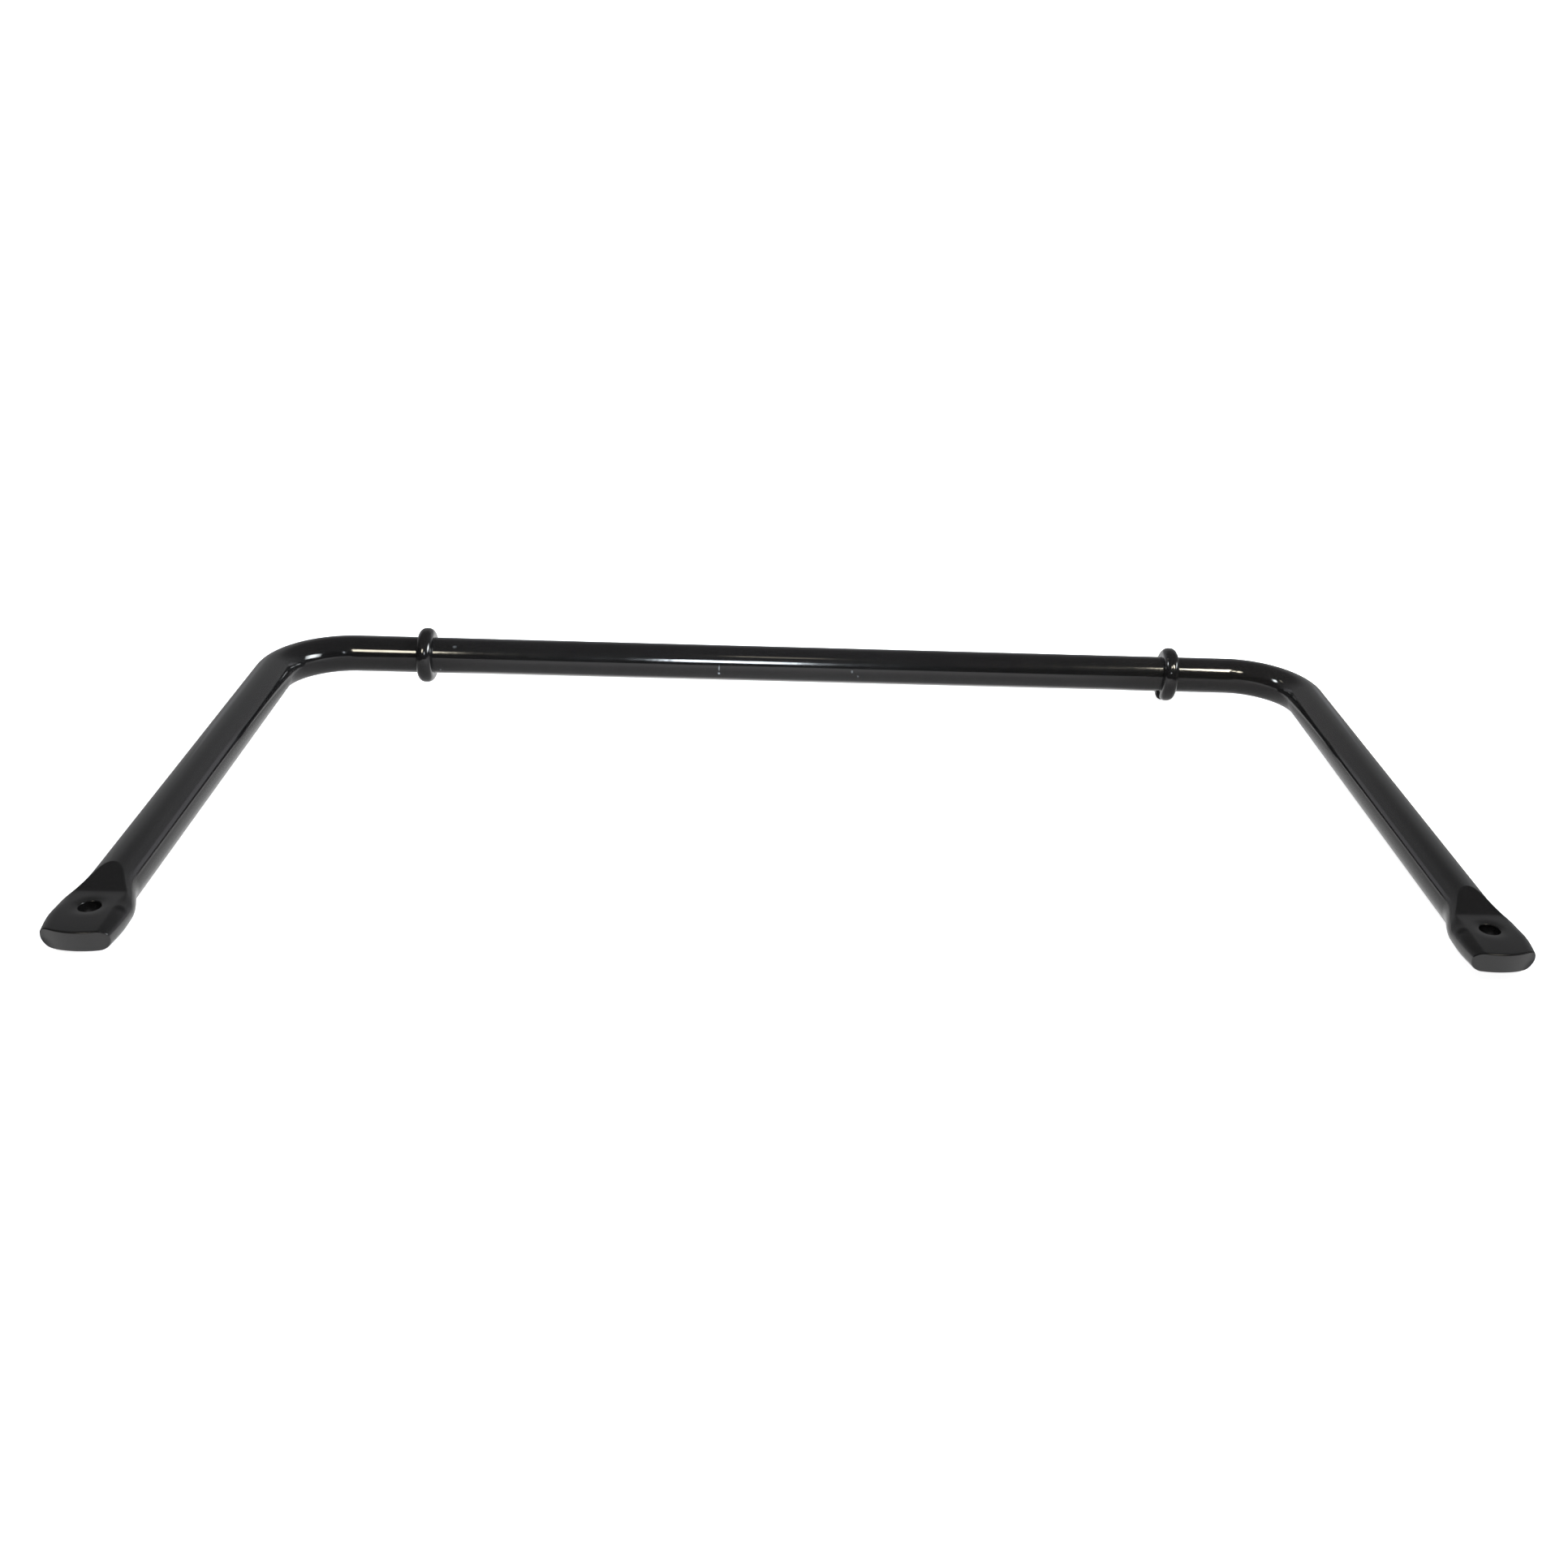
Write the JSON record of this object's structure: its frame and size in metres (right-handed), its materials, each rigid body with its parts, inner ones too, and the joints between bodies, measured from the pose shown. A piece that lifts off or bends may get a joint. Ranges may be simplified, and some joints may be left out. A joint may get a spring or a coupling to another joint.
{
  "type": "sway bar",
  "caption": "Round steel torsion bar bent into a U, with a flattened and pierced eye at the end of each arm and a stop collar near each bend.",
  "frame": {"origin": "middle of the straight section, on the bar's axis", "axes": "+X along the straight section towards the right arm, +Z square to the plane of the arms, both arms towards -Y"},
  "size_m": [0.8402, 0.4693, 0.0428],
  "materials": {
    "bar_paint": "gloss black paint over forged steel",
    "collar_paint": "gloss black paint over a rolled steel ring"
  },
  "bodies": {
    "root": {"torsion_bar": "bar_paint", "left_stop_collar": "collar_paint", "right_stop_collar": "collar_paint"}
  },
  "joints": []
}
